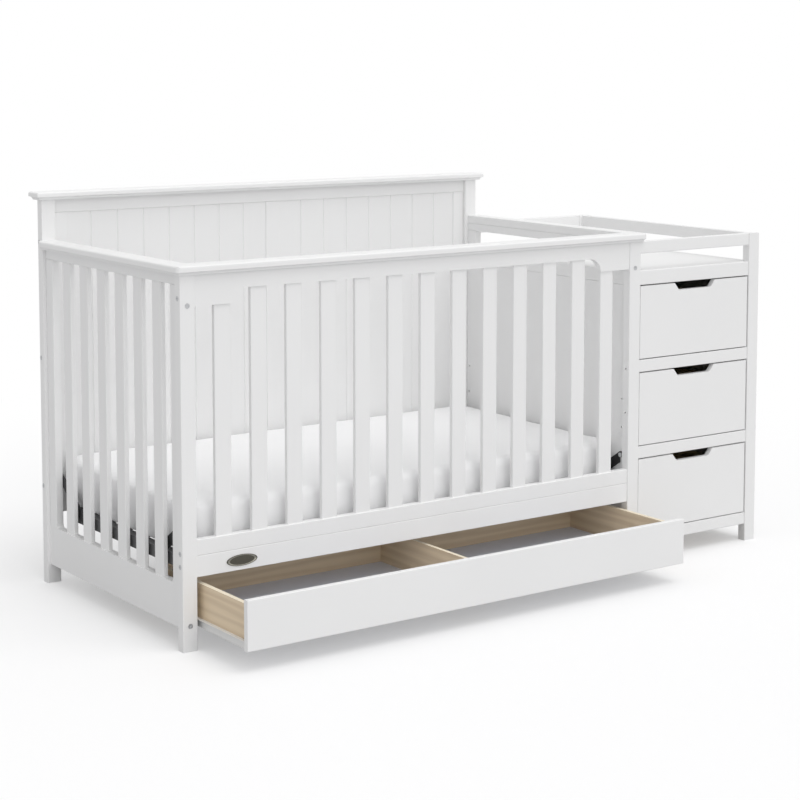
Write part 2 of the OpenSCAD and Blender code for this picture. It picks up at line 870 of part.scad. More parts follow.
// Sides and back of a drawer box, grooved for its bottom.
module drawer_box(x, w, z, h) {
    difference() {
        union() {
            for (left = [x, x + w - side_t])
                box([left, front_y1, z], [side_t, box_depth, h]);
            box([x + side_t, front_y1 + box_depth - side_t, z], [w - 2 * side_t, side_t, h]);
        }
        bottom_groove(x + side_t, w - 2 * side_t, z);
    }
}

// The groove round a bottom that shows w wide from x.
module bottom_groove(x, w, z) {
    box([x - groove_d, front_y1 - groove_d, z + groove_z - groove_play],
        [w + 2 * groove_d, box_depth - side_t + 2 * groove_d, bottom_t + 2 * groove_play]);
}

// A bottom panel that shows w wide from x, let into its grooves.
module bottom_panel(x, w, z) {
    tongue = groove_d - panel_play;
    box([x - tongue, front_y1 - tongue, z + groove_z],
        [w + 2 * tongue, box_depth - side_t + 2 * tongue, bottom_t]);
}

crib_box_x = leg_w + slide_gap;
crib_box_w = crib_open_w - 2 * slide_gap;
crib_box_z = crib_front_z + side_rise;
crib_well_w = (crib_box_w - 2 * side_t - crib_divider_t) / 2;

module in_crib_drawer() {
    place() translate([0, -crib_drawer_open, 0]) children();
}

module crib_drawer_front() {
    color(white_paint) in_crib_drawer() difference() {
        bar_x([leg_w + crib_reveal, front_recess, crib_front_z],
            [crib_open_w - 2 * crib_reveal, front_t, crib_front_h]);
        bottom_groove(crib_box_x + side_t, crib_box_w - 2 * side_t, crib_box_z);
    }
}

module crib_drawer_box() {
    color(birch) in_crib_drawer() drawer_box(crib_box_x, crib_box_w, crib_box_z, crib_side_h);
}

module crib_drawer_divider() {
    x = crib_box_x + side_t + crib_well_w;
    color(birch) in_crib_drawer() difference() {
        box([x, front_y1, crib_box_z], [crib_divider_t, box_depth - side_t, crib_divider_h]);
        bottom_groove(crib_box_x + side_t, crib_well_w, crib_box_z);
        bottom_groove(x + crib_divider_t, crib_well_w, crib_box_z);
    }
}

module crib_drawer_bottoms() {
    color(board_grey) in_crib_drawer()
        for (x = [0, crib_well_w + crib_divider_t])
            bottom_panel(crib_box_x + side_t + x, crib_well_w, crib_box_z);
}

module crib_drawer_rails() {
    color(slide_white) place() crib_slides(crib_drawer_open) drawer_rail();
}

module crib_fixed_rollers() {
    color(roller_grey) place() crib_slides() fixed_roller();
}

module crib_moving_rollers() {
    color(roller_grey) place() crib_slides(crib_drawer_open) moving_roller();
}

changer_box_x = right_leg_x1 + slide_gap;
changer_box_w = changer_open_w - 2 * slide_gap;

// Finger cut-out, by its points from the left, with the top edge at height 0.
function grip_outline() = let (
        slope = atan2(grip_d, (grip_w - grip_floor_w) / 2),
        in = grip_r * tan(slope / 2))
    concat([[-grip_w / 2, 0]],
        arc(in - grip_floor_w / 2, grip_r - grip_d, grip_r, 270 - slope, 270, 6),
        arc(grip_floor_w / 2 - in, grip_r - grip_d, grip_r, 270, 270 + slope, 6),
        [[grip_w / 2, 0]]);

module changer_drawer_front(i) {
    w = changer_open_w - 2 * reveal;
    outline = concat([for (p = grip_outline()) p + [w / 2, drawer_front_h]],
        [[w, drawer_front_h], [w, 0], [0, 0], [0, drawer_front_h]]);
    color(white_paint) place() difference() {
        translate([right_leg_x1 + reveal, 0, front_z(i)])
            board_xz(front_recess, front_t, outline);
        bottom_groove(changer_box_x + side_t, changer_box_w - 2 * side_t,
            front_z(i) + side_rise);
    }
}

module changer_drawer_box(i) {
    z = front_z(i) + side_rise;
    color(birch) place() {
        drawer_box(changer_box_x, changer_box_w, z, changer_side_h);
        bottom_panel(changer_box_x + side_t, changer_box_w - 2 * side_t, z);
    }
}

module changer_drawer_rails(i) {
    color(slide_white) place() changer_slides(i) drawer_rail();
}

module changer_fixed_rollers(i) {
    color(roller_grey) place() changer_slides(i) fixed_roller();
}

module changer_moving_rollers(i) {
    color(roller_grey) place() changer_slides(i) moving_roller();
}

// ---- Mattress support ----

// The children at the four corners of the mattress well.
module at_corners() {
    both_x(crib_mid_x) both_y(side_mid_y) children();
}

module hanger_holes() {
    at_corners() for (i = [0:hanger_rows - 1])
        translate([well_x - insert_depth, hanger_y, hanger_z + i * hanger_step])
            rotate([0, 90, 0]) cylinder(r = bolt_r, h = insert_depth + cut);
}

module hanger_bolts() {
    reach = 2 * slip + steel_t;
    color(bolt_steel) place() at_corners()
        translate([well_x + reach, hanger_y, hanger_z])
        rotate([0, -90, 0]) bolt(reach + insert_depth);
}

// A point on a strap's edge, d above its middle line, as far as y from the bolt.
function strap_edge(d, y) = [y, (d - y * sin(strap_tilt)) / cos(strap_tilt)];

// A hook over the hanger bolt, and a strap that slants down to the middle of the
// end, where it lies on the frame's outer face.
module support_hangers() {
    slot_r = bolt_r + 0.5;
    lower = hook_r - strap_w;
    lip = 215;
    outline = concat(
        arc(0, 0, slot_r, 180, 0, 12),
        [strap_edge(lower, slot_r), strap_edge(lower, strap_run), strap_edge(hook_r, strap_run)],
        arc(0, 0, hook_r, 90 - strap_tilt, lip, 12),
        [[-slot_r, hook_r * sin(lip)]]);
    color(black_steel) place() at_corners()
        translate([0, hanger_y, hanger_z]) board_yz(hanger_x, steel_t, outline);
}

// Angle iron all round, its upper flange turned inwards.
module support_frame() {
    color(black_steel) place() translate([frame_x, frame_y, frame_z]) difference() {
        cube([frame_len, frame_w, angle_h]);
        box([steel_t, steel_t, -cut],
            [frame_len - 2 * steel_t, frame_w - 2 * steel_t, angle_h - steel_t + cut]);
        box([angle_w, angle_w, 0],
            [frame_len - 2 * angle_w, frame_w - 2 * angle_w, angle_h + cut]);
    }
}

// A grille of flat bands between the flanges.
module support_bands() {
    len = frame_len - 2 * angle_w;
    w = frame_w - 2 * angle_w;
    color(black_steel) place()
        translate([frame_x + angle_w, frame_y + angle_w, support_z - band_t]) {
            for (i = [1:long_bands])
                box([0, i * w / (long_bands + 1) - band_w / 2, 0], [len, band_w, band_t]);
            for (i = [1:cross_bands])
                box([i * len / (cross_bands + 1) - band_w / 2, 0, 0], [band_w, w, band_t]);
        }
}

// ---- Mattress ----

// One ring of the mattress, inset from its outline and as high as z.
steps = 6;
function ring(inset, z) = let (
        hx = mattress_len / 2 - inset,
        hy = mattress_w / 2 - inset,
        r = max(mattress_corner_r - inset / 3, 4))
    [for (q = [0:3], p = arc(hx * [1, -1, -1, 1][q] - r * [1, -1, -1, 1][q],
            hy * [1, 1, -1, -1][q] - r * [1, 1, -1, -1][q], r, 90 * q, 90 * q + 90, steps))
        [p[0], p[1], z]];

// Full sides with tight edges, then rings that close over the crown.
edge_round = 18;
side_rings = [for (i = [0:8]) let (a = -90 + 22.5 * i)
    ring(edge_round * (1 - pow(max(cos(a), 0), 0.6)), mattress_h * (1 + sin(a)) / 2)];
top_rings = [for (s = [0.12, 0.3, 0.55, 0.8]) let (
        inset = edge_round + s * (mattress_w / 2 - edge_round))
    ring(inset, mattress_h + mattress_crown * (1 - pow(1 - s, 3)))];
mattress_rings = concat(side_rings, top_rings);

module mattress() {
    n = 4 * (steps + 1);
    count = len(mattress_rings);
    sides = [for (k = [0:count - 2], i = [0:n - 1], t = [0, 1]) let (
            a = k * n + i,
            b = k * n + (i + 1) % n)
        t == 0 ? [a, a + n, b + n] : [a, b + n, b]];
    caps = [[for (i = [0:n - 1]) i], [for (i = [n - 1:-1:0]) (count - 1) * n + i]];
    mid = [mattress_x + mattress_len / 2, mattress_y + mattress_w / 2, support_z];
    color(sheet_white) place() translate(mid)
        polyhedron([for (r = mattress_rings, p = r) p], concat(caps, sides));
}

module top_drawer_front() {
    changer_drawer_front(2);
}

module top_drawer_box() {
    changer_drawer_box(2);
}

module top_drawer_rails() {
    changer_drawer_rails(2);
}

module top_fixed_rollers() {
    changer_fixed_rollers(2);
}

module top_moving_rollers() {
    changer_moving_rollers(2);
}

module middle_drawer_front() {
    changer_drawer_front(1);
}

module middle_drawer_box() {
    changer_drawer_box(1);
}

module middle_drawer_rails() {
    changer_drawer_rails(1);
}

module middle_fixed_rollers() {
    changer_fixed_rollers(1);
}

module middle_moving_rollers() {
    changer_moving_rollers(1);
}

module bottom_drawer_front() {
    changer_drawer_front(0);
}

module bottom_drawer_box() {
    changer_drawer_box(0);
}

module bottom_drawer_rails() {
    changer_drawer_rails(0);
}

module bottom_fixed_rollers() {
    changer_fixed_rollers(0);
}

module bottom_moving_rollers() {
    changer_moving_rollers(0);
}

front_left_leg();
front_right_leg();
back_left_post();
back_right_post();
front_top_rail();
front_slats();
front_bottom_rail();
front_apron();
oval_plate();
front_cap();
side_caps();
end_top_rail();
end_stiles();
end_slats();
end_bottom_board();
headboard_rails();
headboard_stiles();
headboard_panels();
headboard_cap();
divide_frame();
divide_board();
changer_right_side();
changer_posts();
changer_front_rails();
changer_back_panel();
tray_aprons();
changing_top();
guard_rails();
slide_battens();
cabinet_slide_rails();
frame_bolts();
barrel_nuts();
hanger_bolts();
support_frame();
support_bands();
support_hangers();
mattress();
crib_drawer_front();
crib_drawer_box();
crib_drawer_divider();
crib_drawer_bottoms();
crib_drawer_rails();
crib_fixed_rollers();
crib_moving_rollers();
top_drawer_front();
top_drawer_box();
top_drawer_rails();
top_fixed_rollers();
top_moving_rollers();
middle_drawer_front();
middle_drawer_box();
middle_drawer_rails();
middle_fixed_rollers();
middle_moving_rollers();
bottom_drawer_front();
bottom_drawer_box();
bottom_drawer_rails();
bottom_fixed_rollers();
bottom_moving_rollers();
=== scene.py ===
"""Finishes, mattress, oval plate and stage for a white crib with an attached changer.

Everything is in metres, in the frame of the packed model: X runs to the right along the
front, Y to the back and Z up, from the floor under the middle of the whole object.
"""

import math

import bmesh
import bpy
from bpy.props import FloatProperty, FloatVectorProperty, IntProperty, PointerProperty
from bpy.types import Operator, Panel, PropertyGroup
from mathutils import Matrix, Vector, noise


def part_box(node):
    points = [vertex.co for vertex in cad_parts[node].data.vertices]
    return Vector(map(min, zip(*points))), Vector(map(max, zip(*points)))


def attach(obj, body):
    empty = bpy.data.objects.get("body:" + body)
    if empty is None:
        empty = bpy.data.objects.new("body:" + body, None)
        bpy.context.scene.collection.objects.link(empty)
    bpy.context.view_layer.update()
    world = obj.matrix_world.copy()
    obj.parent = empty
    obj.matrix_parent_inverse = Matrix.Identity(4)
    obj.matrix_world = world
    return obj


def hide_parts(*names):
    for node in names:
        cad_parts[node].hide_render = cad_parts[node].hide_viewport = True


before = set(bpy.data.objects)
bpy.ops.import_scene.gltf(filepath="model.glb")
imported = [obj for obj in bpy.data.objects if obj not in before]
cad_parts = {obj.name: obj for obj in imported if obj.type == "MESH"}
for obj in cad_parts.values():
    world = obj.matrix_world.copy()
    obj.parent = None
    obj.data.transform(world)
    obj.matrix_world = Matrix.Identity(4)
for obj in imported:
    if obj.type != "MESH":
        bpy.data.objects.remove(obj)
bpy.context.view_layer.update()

bl_info = {
    "name": "Crib with Changer",
    "version": (1, 0, 0),
    "blender": (4, 5, 0),
    "location": "View3D > Sidebar > Crib",
    "description": "Finishes, mattress, oval plate and stage for a crib with a changer",
    "category": "Object",
}

# Nodes of the packed model by the finish that they take, and for painted boards
# by the direction in which they run.
PAINTED_ALONG_X = (
    "front_top_rail", "front_bottom_rail", "front_apron", "front_cap", "headboard_rails",
    "headboard_cap", "changer_front_rails", "crib_drawer_front", "top_drawer_front",
    "middle_drawer_front", "bottom_drawer_front",
)
PAINTED_ALONG_Y = (
    "side_caps", "end_top_rail", "end_bottom_board", "tray_aprons", "guard_rails",
    "changing_top",
)
PAINTED_ALONG_Z = (
    "front_left_leg", "front_right_leg", "back_left_post", "back_right_post", "front_slats",
    "end_stiles", "end_slats", "headboard_stiles", "headboard_panels", "divide_frame",
    "divide_board", "changer_right_side", "changer_posts",
)
BOXES = ("crib_drawer_box", "top_drawer_box", "middle_drawer_box", "bottom_drawer_box")
STRIPS = ("crib_drawer_divider", "slide_battens")
GREY_BOARDS = ("crib_drawer_bottoms",)
BACK_BOARDS = ("changer_back_panel",)
RAILS = (
    "cabinet_slide_rails", "crib_drawer_rails", "top_drawer_rails", "middle_drawer_rails",
    "bottom_drawer_rails",
)
ROLLERS = tuple(
    f"{drawer}_{kind}_rollers"
    for drawer in ("crib", "top", "middle", "bottom")
    for kind in ("fixed", "moving")
)
SUPPORT_STEEL = ("support_frame", "support_bands")
HANGERS = ("support_hangers",)
ZINC = ("frame_bolts", "barrel_nuts", "hanger_bolts")

# The floor: it fades to plain white between two distances from the object.
FADE_FROM, FADE_TO, LEAST_FADE = 1.2, 3.0, 0.35
CAMERA_REACH = 100.0

# Wood: how slowly the grain changes along a board, how far a face turns up to take the
# painted highlight of the top edges, and the room that takes in a box's back board, which is
# 12 mm thick. No board lies behind NOWHERE.
PAINTED_STRETCH, BARE_STRETCH = 0.06, 0.055
TOP_FACE = 0.9
BOX_BACK = 0.0125
NOWHERE = 10.0

# The oval plate: points round it, its eased edge, the slope inside its rim, the ring that
# is worn, in rim widths from outside, and the steps of its field, each by its share of the
# last one's size and by its lift.
PLATE_POINTS = 96
PLATE_EASE, PLATE_EASE_STEPS = 0.0005, 3
RIM_SLOPE = 0.0004
WORN_FROM, WORN_TO = 0.8, 2.2
FIELD_STEP = 0.0002
FIELD_CROWN = ((0.92, 0.00010), (0.80, 0.00008), (0.62, 0.00005), (0.35, 0.00002))

# The mattress: how near the solid's points are merged, how much of the inset its height
# takes, the cloth of its cover, its ripples and its corner seams.
WELD = 0.0002
INSET_IN_HEIGHT = 0.4
COVER_CLOTH = {
    "quality": 5, "mass": 0.3, "tension_stiffness": 18, "compression_stiffness": 18,
    "bending_stiffness": 0.6, "use_pressure": True,
}
RIPPLES_PER_METRE = (9, 22, 14)
RIPPLE_EVERYWHERE = 0.25
SEAM_REACH, SEAM_HALF_WIDTH = 0.045, 0.0011


# ---- Node trees ----


class Value:
    """A socket of a node tree that stands in a sum as a number does."""

    def __init__(self, tree, socket):
        self.tree = tree
        self.socket = socket

    def math(self, operation, *terms):
        return self.tree.add("ShaderNodeMath", {"operation": operation}, dict(enumerate(terms)))

    def __add__(self, other):
        return self.math("ADD", self, other)

    __radd__ = __add__

    def __sub__(self, other):
        return self.math("SUBTRACT", self, other)

    def __rsub__(self, other):
        return self.math("SUBTRACT", other, self)

    def __mul__(self, other):
        return self.math("MULTIPLY", self, other)

    __rmul__ = __mul__

    def __truediv__(self, other):
        return self.math("DIVIDE", self, other)

    def __gt__(self, other):
        return self.math("GREATER_THAN", self, other)

    def __lt__(self, other):
        return self.math("LESS_THAN", self, other)

    def __abs__(self):
        return self.math("ABSOLUTE", self)

    def sine(self):
        return self.math("SINE", self)

    def root(self):
        return self.math("SQRT", self)

    def or_more(self, other):
        return self.math("MAXIMUM", self, other)


class Tree:
    """A node tree, for a material or for the world, and the ways that nodes are added to it."""

    def __init__(self, owner):
        owner.use_nodes = True
        self.nodes = owner.node_tree.nodes
        self.links = owner.node_tree.links
        self.nodes.clear()

    def add(self, kind, settings=None, sockets=None, out=0):
        """Adds a node, makes its settings, then fills its sockets with values or links."""
        node = self.nodes.new(kind)
        for name, value in (settings or {}).items():
            if name == "stops":
                self.set_stops(node.color_ramp, value)
            else:
                setattr(node, name, value)
        for key, value in (sockets or {}).items():
            if isinstance(value, Value):
                self.links.new(value.socket, node.inputs[key])
            else:
                node.inputs[key].default_value = value
        return Value(self, node.outputs[out]) if node.outputs else None

    def set_stops(self, ramp, stops):
        while len(ramp.elements) < len(stops):
            ramp.elements.new(1)
        for element, (place, colour) in zip(ramp.elements, stops):
            element.position = place
            element.color = colour

    def place(self, stretch=None):
        """The point on the piece in metres, which may be stretched along each axis."""
        point = self.add("ShaderNodeTexCoord", out="Object")
        if stretch is None:
            return point
        return self.add("ShaderNodeVectorMath", {"operation": "MULTIPLY"}, {0: point, 1: stretch})

    def parts(self, vector):
        """The three numbers of a vector."""
        split = self.add("ShaderNodeSeparateXYZ", None, {0: vector})
        return [Value(self, socket) for socket in split.socket.node.outputs]

    def noise(self, vector, scale, detail=2.0, roughness=0.5):
        return self.add("ShaderNodeTexNoise", None, {
            "Vector": vector, "Scale": scale, "Detail": detail, "Roughness": roughness})

    def ramp(self, factor, stops):
        return self.add("ShaderNodeValToRGB", {"stops": stops}, {0: factor})

    def mix(self, factor, first, second):
        """A colour between two others."""
        return self.add(
            "ShaderNodeMix", {"data_type": "RGBA"}, {0: factor, 6: first, 7: second}, out=2)

    def shade(self, factor, colour):
        """A colour times a number."""
        return self.add("ShaderNodeVectorMath", {"operation": "SCALE"}, {0: colour, 3: factor})

    def bump(self, height, strength, distance):
        return self.add("ShaderNodeBump", None, {
            "Height": height, "Strength": strength, "Distance": distance})


def finish_of(name, build, **fixed):
    """A material whose build function gives its shader's changing sockets."""
    material = bpy.data.materials.new(name)
    tree = Tree(material)
    sockets = build(tree)
    sockets.update(fixed)
    shader = tree.add("ShaderNodeBsdfPrincipled", None, sockets)
    tree.add("ShaderNodeOutputMaterial", None, {"Surface": shader})
    return material


def opaque(colour):
    return (colour[0], colour[1], colour[2], 1.0)


def dress(names, material):
    """Gives CAD nodes a material."""
    for name in names:
        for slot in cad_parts[name].material_slots:
            slot.material = material


def new_piece(name, form, material, smooth=True):
    """Makes an object of a bmesh, at the origin."""
    mesh = bpy.data.meshes.new(name)
    form.to_mesh(mesh)
    form.free()
    for face in mesh.polygons:
        face.use_smooth = smooth
    mesh.materials.append(material)
    piece = bpy.data.objects.new(name, mesh)
    bpy.context.scene.collection.objects.link(piece)
    return piece


# ---- Sizes and colours ----


def colour_property(name, description, default):
    return FloatVectorProperty(
        name=name, description=description, default=default, subtype="COLOR", size=3, min=0, max=1)


def length_property(name, description, default):
    return FloatProperty(
        name=name, description=description, default=default, min=0, subtype="DISTANCE",
        unit="LENGTH", precision=4)


class StageValues(PropertyGroup):
    """Camera, light and floor."""

    camera_place: FloatVectorProperty(
        name="Camera place", description="Where the camera stands",
        default=(-2.99544, -4.09445, 1.36655), subtype="TRANSLATION", unit="LENGTH")
    camera_turn: FloatProperty(
        name="Camera turn", description="How far the camera looks to the right of straight ahead",
        default=math.radians(35.1776), subtype="ANGLE", unit="ROTATION")
    camera_dip: FloatProperty(
        name="Camera dip", description="How far the camera looks below level",
        default=math.radians(5.5), subtype="ANGLE", unit="ROTATION")
    camera_lens: FloatProperty(
        name="Lens", description="Focal length", default=87.3728, min=10,
        subtype="DISTANCE_CAMERA")
    camera_rise: FloatProperty(
        name="Lens rise", description="Vertical shift of the lens, in frame heights", default=-0.2)
    sky_level: FloatProperty(
        name="Sky level", description="Light that comes evenly from all round", default=0.68,
        min=0)
    lamp_size: FloatProperty(
        name="Lamp size", description="Angle that each soft lamp fills", default=math.radians(40),
        subtype="ANGLE", unit="ROTATION")
    overhead_level: FloatProperty(
        name="Overhead lamp", description="Strength of the overhead lamp", default=1.0, min=0)
    overhead_from: FloatVectorProperty(
        name="Overhead lamp direction", description="From the crib towards the overhead lamp",
        default=(0.15, -0.38, 0.91), subtype="DIRECTION")
    front_level: FloatProperty(
        name="Front lamp", description="Strength of the front lamp", default=0.5, min=0)
    front_from: FloatVectorProperty(
        name="Front lamp direction", description="From the crib towards the front lamp",
        default=(-0.20, -0.89, 0.40), subtype="DIRECTION")
    floor_colour: colour_property("Floor", "Colour of the floor", (0.95, 0.95, 0.955))
    floor_return: colour_property(
        "Floor return", "Colour of the light that the floor gives back", (0.62, 0.62, 0.625))
    floor_reach: length_property("Floor reach", "Half the width of the floor", 24.0)


class PaintValues(PropertyGroup):
    """Satin paint on the boards."""

    colour: colour_property("Paint", "Colour of the satin paint", (0.845, 0.845, 0.845))
    grain: FloatProperty(
        name="Grain", description="How much of the wood shows in the paint", default=0.12, min=0,
        max=1)
    board_white: colour_property("Back board", "Colour of the back panel", (0.80, 0.80, 0.80))


class TimberValues(PropertyGroup):
    """Bare wood and board in the drawers."""

    light: colour_property("Light wood", "Colour between the grain lines", (0.70, 0.57, 0.405))
    dark: colour_property("Grain lines", "Colour of the grain lines", (0.63, 0.49, 0.335))
    # Upward faces of the wood take this paler colour as a painted highlight for light from above.
    edge: colour_property("Top edges", "Colour of the sanded top edges", (0.84, 0.76, 0.60))
    board: colour_property("Drawer bottoms", "Colour of the faced board", (0.76, 0.77, 0.83))


class MetalValues(PropertyGroup):
    """Slides, mattress support, bolts and plate."""

    enamel: colour_property("Slides", "Colour of the enamel on the slides", (0.78, 0.78, 0.77))
    nylon: colour_property("Rollers", "Colour of the rollers", (0.66, 0.66, 0.63))
    black: colour_property("Hangers", "Colour of the hangers' powder coat", (0.015, 0.015, 0.016))
    charcoal: colour_property(
        "Support", "Colour of the frame's and grille's powder coat", (0.115, 0.115, 0.118))
    zinc: colour_property("Bolts", "Colour of the plated bolts", (0.64, 0.65, 0.66))
    bronze: colour_property("Plate", "Colour of the oval plate", (0.115, 0.108, 0.088))
    bronze_rim: colour_property("Plate rim", "Colour of the plate's worn rim", (0.34, 0.33, 0.28))
    rim_width: length_property("Rim width", "Width of the plate's raised rim", 0.0022)
    rim_depth: length_property("Rim depth", "Height of the rim over the plate's field", 0.0005)


class MattressValues(PropertyGroup):
    """The mattress in its plain cover."""

    cover: colour_property("Cover", "Colour of the cotton cover", (0.94, 0.94, 0.945))
    voxel: length_property("Voxel", "Size of the mesh that is inflated", 0.010)
    inset: length_property("Inset", "How much smaller the form starts", 0.004)
    swell: length_property("Swell", "How far the pressure may move a point", 0.005)
    sole: length_property(
        "Sole", "Height of the round over the bottom edge, which is flattened", 0.020)
    sole_keep: FloatProperty(
        name="Sole kept", description="How much of the bottom round stays", default=0.3, min=0,
        max=1)
    crown: length_property("Crown", "How far the top stands over the plain solid", 0.004)
    slip: length_property("Slip", "Room left at each side of the cover", 0.0006)
    pressure: FloatProperty(name="Pressure", description="Pressure in the cover", default=4.0)
    steps: IntProperty(
        name="Steps", description="Frames that the cover is inflated for", default=20, min=1)
    ripple: length_property("Ripple", "Height of the slack ripples in the cover", 0.0016)
    weave: length_property("Weave", "Distance between the cover's threads", 0.0009)


# ---- Finishes ----


def painted(values, along):
    """Satin paint on boards that run along one axis (0, 1 or 2)."""
    stretch = [1.0, 1.0, 1.0]
    stretch[along] = PAINTED_STRETCH

    def build(tree):
        point = tree.place()
        fibre = tree.noise(tree.place(stretch), scale=240.0, detail=4.0, roughness=0.6)
        peel = tree.noise(point, scale=620.0)
        drift = tree.noise(point, scale=3.2)
        tone = 0.972 + drift * 0.04 + fibre * (0.05 * values.grain)
        height = fibre * values.grain + peel * 0.22
        return {
            "Base Color": tree.shade(tone, tuple(values.colour)),
            "Roughness": 0.36 + peel * 0.10 + drift * 0.05,
            "Normal": tree.bump(height, strength=0.35, distance=0.0006),
        }

    return finish_of(f"satin_paint_{'xyz'[along]}", build)


def faced_board(name, colour, fleck):
    """Hardboard with a plain printed face."""

    def build(tree):
        point = tree.place()
        felt = tree.noise(point, scale=900.0, detail=3.0, roughness=0.7)
        cloud = tree.noise(point, scale=9.0, detail=3.0)
        tone = 1.0 - fleck * 0.5 + felt * fleck * 0.6 + cloud * fleck * 0.4
        return {
            "Base Color": tree.shade(tone, tuple(colour)),
            "Roughness": 0.55 + felt * 0.12,
            "Normal": tree.bump(felt, strength=0.25, distance=0.0003),
        }

    return finish_of(name, build)


def timber(name, values, cross_from):
    """Clear-lacquered wood, with a painted highlight on its upward faces. Boards run along Y,
    and those behind cross_from along X.
    """

    def build(tree):
        x, y, z = tree.parts(tree.place())
        cross = y > cross_from
        along = y + (x - y) * cross
        over = x + (y - x) * cross
        board = tree.add("ShaderNodeCombineXYZ", None, {0: over, 1: along * BARE_STRETCH, 2: z})
        sway = tree.noise(board, scale=9.0)
        bands = tree.add("ShaderNodeTexWave", {"bands_direction": "Z"}, {
            "Vector": board, "Scale": 13.0, "Distortion": 7.0, "Detail": 3.0,
            "Detail Scale": 1.6, "Detail Roughness": 0.6})
        pores = tree.noise(board, scale=620.0, detail=3.0, roughness=0.65)
        lines = bands * 0.55 + sway * 0.35 + pores * 0.25
        colour = tree.ramp(lines, (
            (0.18, opaque(values.dark)),
            (0.62, opaque(values.light)),
            (0.95, opaque([min(1.0, c * 1.09) for c in values.light]))))
        # Faces that turn up are mixed towards the paler top-edge colour: a painted highlight for
        # light from above.
        _, _, up = tree.parts(tree.add("ShaderNodeNewGeometry", out="Normal"))
        lamplit = tree.mix(pores * 0.3, opaque(values.edge), colour)
        return {
            "Base Color": tree.mix(up > TOP_FACE, colour, lamplit),
            "Roughness": 0.42 + pores * 0.16,
            "Normal": tree.bump(pores * 0.6 + bands * 0.2, strength=0.3, distance=0.0004),
        }

    return finish_of(name, build)


def enamelled(values):
    """White baked enamel on sheet steel."""

    def build(tree):
        point = tree.place()
        peel = tree.noise(point, scale=1100.0)
        run = tree.noise(tree.place((1, 0.05, 1)), scale=160.0, detail=3.0)
        return {
            "Base Color": tree.shade(0.96 + run * 0.07, tuple(values.enamel)),
            "Roughness": 0.28 + run * 0.14,
            "Normal": tree.bump(peel, strength=0.2, distance=0.0002),
        }

    return finish_of("slide_enamel", build)


def nylon(values):
    """Moulded nylon with a faint bloom."""

    def build(tree):
        point = tree.place()
        bloom = tree.noise(point, scale=260.0, detail=3.0)
        grit = tree.noise(point, scale=1900.0)
        return {
            "Base Color": tree.shade(0.93 + bloom * 0.12, tuple(values.nylon)),
            "Roughness": 0.44 + bloom * 0.14,
            "Normal": tree.bump(grit, strength=0.2, distance=0.0002),
        }

    return finish_of("roller_nylon", build)


def powder_coated(name, colour):
    """Powder coat, pitted like orange peel."""

    def build(tree):
        point = tree.place()
        pits = tree.add("ShaderNodeTexVoronoi", {"feature": "SMOOTH_F1"}, {
            "Vector": point, "Scale": 850.0})
        cloud = tree.noise(point, scale=24.0, detail=3.0)
        return {
            "Base Color": tree.shade(0.85 + cloud * 0.45, tuple(colour)),
            "Roughness": 0.42 + cloud * 0.16,
            "Normal": tree.bump(pits, strength=0.35, distance=0.0004),
        }

    return finish_of(name, build)


def zinc_plated(values):
    """Bright zinc with faint cloudy patches."""

    def build(tree):
        point = tree.place()
        cloud = tree.noise(point, scale=190.0, detail=4.0, roughness=0.6)
        scratch = tree.noise(tree.place((1, 1, 6)), scale=900.0)
        return {
            "Base Color": tree.shade(0.86 + cloud * 0.28, tuple(values.zinc)),
            "Roughness": 0.27 + cloud * 0.22,
            "Normal": tree.bump(scratch, strength=0.15, distance=0.0002),
        }

    return finish_of("bolt_zinc", build, Metallic=1.0)


def bronzed(values, middle, half_length, half_height):
    """Dark bronze, brushed along the plate and worn bright on its rim."""

    def build(tree):
        point = tree.place()
        x, _, z = tree.parts(point)
        across = (x - middle.x) / half_length
        up = (z - middle.z) / half_height
        out = across * across + up * up
        rim = values.rim_width / half_height
        worn = (out > 1 - WORN_TO * rim) * (out < 1 - WORN_FROM * rim)
        brush = tree.noise(
            tree.place((0.04, 1, 1)), scale=2600.0, detail=3.0, roughness=0.6)
        patina = tree.noise(point, scale=210.0, detail=4.0, roughness=0.6)
        field = tree.shade(0.80 + brush * 0.25 + patina * 0.25, tuple(values.bronze))
        return {
            "Base Color": tree.mix(worn, field, opaque(values.bronze_rim)),
            "Roughness": 0.48 - worn * 0.14 + patina * 0.10,
            "Normal": tree.bump(brush, strength=0.3, distance=0.0002),
        }

    return finish_of("plate_bronze", build, Metallic=0.85)


def cotton(values, middle, half_length, half_width):
    """A close white weave, with a stitched seam down each corner of the cover."""

    def build(tree):
        point = tree.place()
        x, y, z = tree.parts(point)
        turn = math.tau / values.weave
        warp = (x * turn).sine()
        weft = (y * turn).sine()
        rise = (z * turn).sine()
        slub = tree.noise(point, scale=420.0, detail=3.0)
        crease = tree.noise(
            tree.place((1.0, 2.4, 1.0)), scale=7.0, detail=3.0, roughness=0.55)
        threads = warp * weft * 0.5 + rise * 0.25 + slub * 0.8
        off_middle = abs(x - middle.x)
        diagonal = abs(off_middle - abs(y - middle.y) - (half_length - half_width))
        seam = (diagonal < SEAM_HALF_WIDTH) * (off_middle > half_length - SEAM_REACH)
        # The crease noise also darkens the cover in the creases' hollows and lightens their
        # crests: painted shade in the creases.
        tone = 0.965 + slub * 0.03 + crease * 0.025 - seam * 0.07
        return {
            "Base Color": tree.shade(tone, tuple(values.cover)),
            "Roughness": 0.80 + slub * 0.12,
            "Normal": tree.bump(
                threads * 0.5 + crease * 6.0 - seam * 2.0, strength=0.35, distance=0.0005),
        }

    return finish_of(
        "cotton_cover", build, **{"Sheen Weight": 0.25, "Sheen Roughness": 0.5,
                                  "Specular IOR Level": 0.25})


# ---- Operators ----


